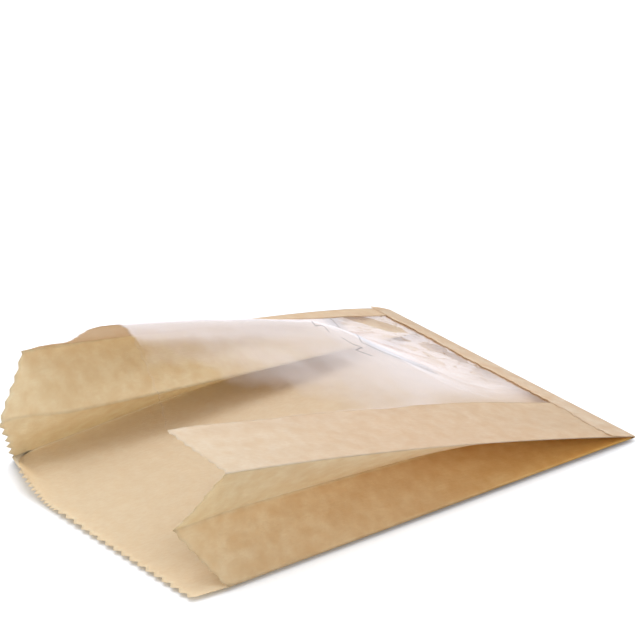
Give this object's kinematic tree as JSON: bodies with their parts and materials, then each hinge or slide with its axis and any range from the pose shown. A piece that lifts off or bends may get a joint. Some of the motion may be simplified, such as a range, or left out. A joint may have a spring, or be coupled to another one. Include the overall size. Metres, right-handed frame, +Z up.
{
  "type": "window bakery bag",
  "caption": "Gusseted kraft paper bakery bag with a clear film window, lying open on its back, with serrated edges, a long back lip and a folded end flap.",
  "frame": {"origin": "middle of the footprint, at table height", "axes": "+X from the mouth to the closed end, +Y from the near side fold to the far side fold, +Z up through the window"},
  "size_m": [0.3026, 0.2152, 0.1149],
  "materials": {
    "kraft_paper": "matt kraft paper",
    "clear_film": "clear glossy film"
  },
  "bodies": {
    "root": {"kraft_paper_body": "kraft_paper", "window_film": "clear_film"}
  },
  "joints": []
}
